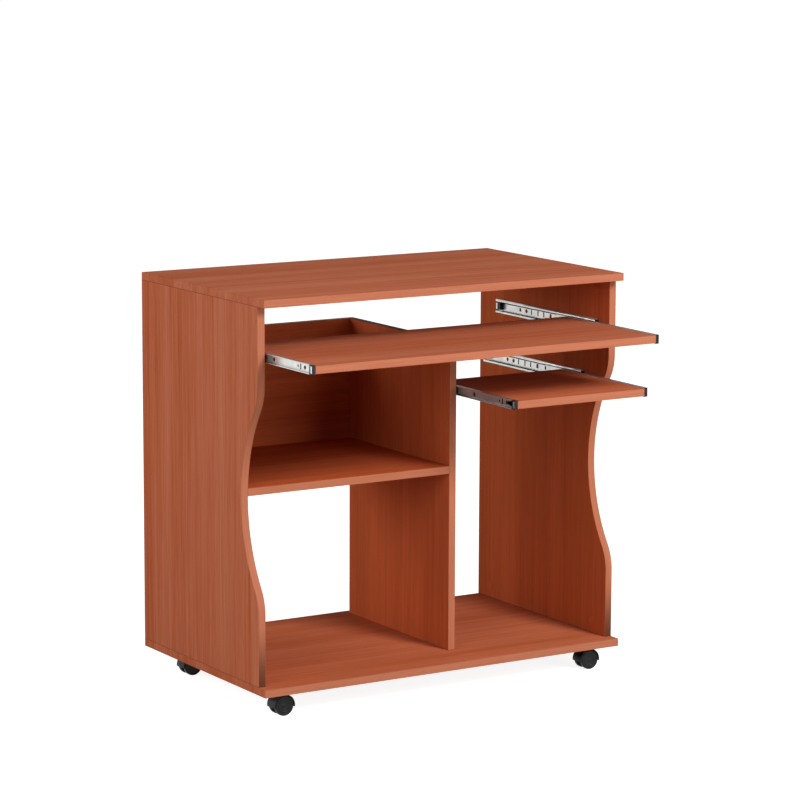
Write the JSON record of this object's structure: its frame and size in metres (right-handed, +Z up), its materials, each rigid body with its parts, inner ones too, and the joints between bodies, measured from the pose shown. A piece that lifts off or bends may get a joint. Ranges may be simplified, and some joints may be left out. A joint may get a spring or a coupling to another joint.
{
  "type": "computer desk",
  "caption": "Rolling cherry-laminate computer desk with a keyboard tray, a side pull-out shelf, curved side panels and open bays.",
  "frame": {"origin": "on the floor, in the middle of the desk's outline with the keyboard tray and side shelf pulled out as at rest", "axes": "+X along the width to the user's right, -Y towards the user, +Z up"},
  "size_m": [0.8, 0.624, 0.787],
  "materials": {
    "cherry_laminate_board": "satin cherry-grain melamine laminate",
    "zinc_plated_steel": "bright zinc plate",
    "bearing_steel": "polished",
    "black_coated_steel": "black phosphate coat",
    "black_plastic": "satin moulded",
    "cherry_cover_plastic": "satin",
    "beech": "raw"
  },
  "bodies": {
    "carcass": {"top_panel": "cherry_laminate_board", "bottom_panel": "cherry_laminate_board", "left_side_panel": "cherry_laminate_board", "right_side_panel": "cherry_laminate_board", "divider_panel": "cherry_laminate_board", "fixed_shelf": "cherry_laminate_board", "back_panel": "cherry_laminate_board", "cam_locks": "zinc_plated_steel", "cam_bolts": "zinc_plated_steel", "cam_covers": "cherry_cover_plastic", "wooden_dowels": "beech", "confirmat_screws": "zinc_plated_steel", "screw_caps": "cherry_cover_plastic", "keyboard_slide_left_outer": "zinc_plated_steel", "keyboard_slide_right_outer": "zinc_plated_steel", "shelf_slide_left_outer": "zinc_plated_steel", "shelf_slide_right_outer": "zinc_plated_steel", "slide_rear_stops": "black_plastic", "slide_wall_screws": "black_coated_steel", "front_left_caster_plate": "zinc_plated_steel", "front_right_caster_plate": "zinc_plated_steel", "rear_left_caster_plate": "zinc_plated_steel", "rear_right_caster_plate": "zinc_plated_steel", "caster_king_pins": "zinc_plated_steel", "caster_screws": "zinc_plated_steel"},
    "keyboard_tray_unit": {"keyboard_tray": "cherry_laminate_board", "keyboard_slide_left_inner": "zinc_plated_steel", "keyboard_slide_right_inner": "zinc_plated_steel", "keyboard_slide_caps": "black_plastic", "keyboard_tray_screws": "black_coated_steel"},
    "pull_out_shelf_unit": {"pull_out_shelf": "cherry_laminate_board", "shelf_slide_left_inner": "zinc_plated_steel", "shelf_slide_right_inner": "zinc_plated_steel", "shelf_slide_caps": "black_plastic", "pull_out_shelf_screws": "black_coated_steel"},
    "keyboard_slide_left_ball_cage": {"keyboard_slide_left_cage": "black_plastic", "keyboard_slide_left_balls": "bearing_steel"},
    "keyboard_slide_right_ball_cage": {"keyboard_slide_right_cage": "black_plastic", "keyboard_slide_right_balls": "bearing_steel"},
    "shelf_slide_left_ball_cage": {"shelf_slide_left_cage": "black_plastic", "shelf_slide_left_balls": "bearing_steel"},
    "shelf_slide_right_ball_cage": {"shelf_slide_right_cage": "black_plastic", "shelf_slide_right_balls": "bearing_steel"},
    "front_left_caster_fork": {"front_left_caster_hood": "black_plastic", "front_left_caster_axle": "zinc_plated_steel"},
    "front_left_caster_near_roller": {"front_left_caster_near_wheel": "black_plastic"},
    "front_left_caster_far_roller": {"front_left_caster_far_wheel": "black_plastic"},
    "front_right_caster_fork": {"front_right_caster_hood": "black_plastic", "front_right_caster_axle": "zinc_plated_steel"},
    "front_right_caster_near_roller": {"front_right_caster_near_wheel": "black_plastic"},
    "front_right_caster_far_roller": {"front_right_caster_far_wheel": "black_plastic"},
    "rear_left_caster_fork": {"rear_left_caster_hood": "black_plastic", "rear_left_caster_axle": "zinc_plated_steel"},
    "rear_left_caster_near_roller": {"rear_left_caster_near_wheel": "black_plastic"},
    "rear_left_caster_far_roller": {"rear_left_caster_far_wheel": "black_plastic"},
    "rear_right_caster_fork": {"rear_right_caster_hood": "black_plastic", "rear_right_caster_axle": "zinc_plated_steel"},
    "rear_right_caster_near_roller": {"rear_right_caster_near_wheel": "black_plastic"},
    "rear_right_caster_far_roller": {"rear_right_caster_far_wheel": "black_plastic"}
  },
  "joints": [
    {"name": "keyboard_tray_slide", "type": "slide", "parent": "carcass", "child": "keyboard_tray_unit", "axis": [0, -1, 0], "range_m": [-0.204, 0.046]},
    {"name": "pull_out_shelf_slide", "type": "slide", "parent": "carcass", "child": "pull_out_shelf_unit", "axis": [0, -1, 0], "range_m": [-0.215, 0.035]},
    {"name": "keyboard_slide_left_cage_slide", "type": "slide", "parent": "carcass", "child": "keyboard_slide_left_ball_cage", "axis": [0, -1, 0], "range_m": [-0.102, 0.023]},
    {"name": "keyboard_slide_right_cage_slide", "type": "slide", "parent": "carcass", "child": "keyboard_slide_right_ball_cage", "axis": [0, -1, 0], "range_m": [-0.102, 0.023]},
    {"name": "shelf_slide_left_cage_slide", "type": "slide", "parent": "carcass", "child": "shelf_slide_left_ball_cage", "axis": [0, -1, 0], "range_m": [-0.1075, 0.0175]},
    {"name": "shelf_slide_right_cage_slide", "type": "slide", "parent": "carcass", "child": "shelf_slide_right_ball_cage", "axis": [0, -1, 0], "range_m": [-0.1075, 0.0175]},
    {"name": "front_left_caster_swivel", "type": "hinge", "parent": "carcass", "child": "front_left_caster_fork", "pos_m": [-0.359, -0.1355, 0.035], "axis": [0, 0, 1], "continuous": true},
    {"name": "front_left_caster_near_roll", "type": "hinge", "parent": "front_left_caster_fork", "child": "front_left_caster_near_roller", "pos_m": [-0.347, -0.14585, 0.019], "axis": [0, 1, 0], "continuous": true},
    {"name": "front_left_caster_far_roll", "type": "hinge", "parent": "front_left_caster_fork", "child": "front_left_caster_far_roller", "pos_m": [-0.347, -0.12515, 0.019], "axis": [0, 1, 0], "continuous": true},
    {"name": "front_right_caster_swivel", "type": "hinge", "parent": "carcass", "child": "front_right_caster_fork", "pos_m": [0.359, -0.1355, 0.035], "axis": [0, 0, 1], "continuous": true},
    {"name": "front_right_caster_near_roll", "type": "hinge", "parent": "front_right_caster_fork", "child": "front_right_caster_near_roller", "pos_m": [0.347, -0.14585, 0.019], "axis": [0, 1, 0], "continuous": true},
    {"name": "front_right_caster_far_roll", "type": "hinge", "parent": "front_right_caster_fork", "child": "front_right_caster_far_roller", "pos_m": [0.347, -0.12515, 0.019], "axis": [0, 1, 0], "continuous": true},
    {"name": "rear_left_caster_swivel", "type": "hinge", "parent": "carcass", "child": "rear_left_caster_fork", "pos_m": [-0.359, 0.223, 0.035], "axis": [0, 0, 1], "continuous": true},
    {"name": "rear_left_caster_near_roll", "type": "hinge", "parent": "rear_left_caster_fork", "child": "rear_left_caster_near_roller", "pos_m": [-0.347, 0.21265, 0.019], "axis": [0, 1, 0], "continuous": true},
    {"name": "rear_left_caster_far_roll", "type": "hinge", "parent": "rear_left_caster_fork", "child": "rear_left_caster_far_roller", "pos_m": [-0.347, 0.23335, 0.019], "axis": [0, 1, 0], "continuous": true},
    {"name": "rear_right_caster_swivel", "type": "hinge", "parent": "carcass", "child": "rear_right_caster_fork", "pos_m": [0.359, 0.223, 0.035], "axis": [0, 0, 1], "continuous": true},
    {"name": "rear_right_caster_near_roll", "type": "hinge", "parent": "rear_right_caster_fork", "child": "rear_right_caster_near_roller", "pos_m": [0.347, 0.21265, 0.019], "axis": [0, 1, 0], "continuous": true},
    {"name": "rear_right_caster_far_roll", "type": "hinge", "parent": "rear_right_caster_fork", "child": "rear_right_caster_far_roller", "pos_m": [0.347, 0.23335, 0.019], "axis": [0, 1, 0], "continuous": true}
  ],
  "couplings": [
    {"joint": "keyboard_slide_left_cage_slide", "follows": "keyboard_tray_slide", "ratio": 0.5},
    {"joint": "keyboard_slide_right_cage_slide", "follows": "keyboard_tray_slide", "ratio": 0.5},
    {"joint": "shelf_slide_left_cage_slide", "follows": "pull_out_shelf_slide", "ratio": 0.5},
    {"joint": "shelf_slide_right_cage_slide", "follows": "pull_out_shelf_slide", "ratio": 0.5}
  ]
}
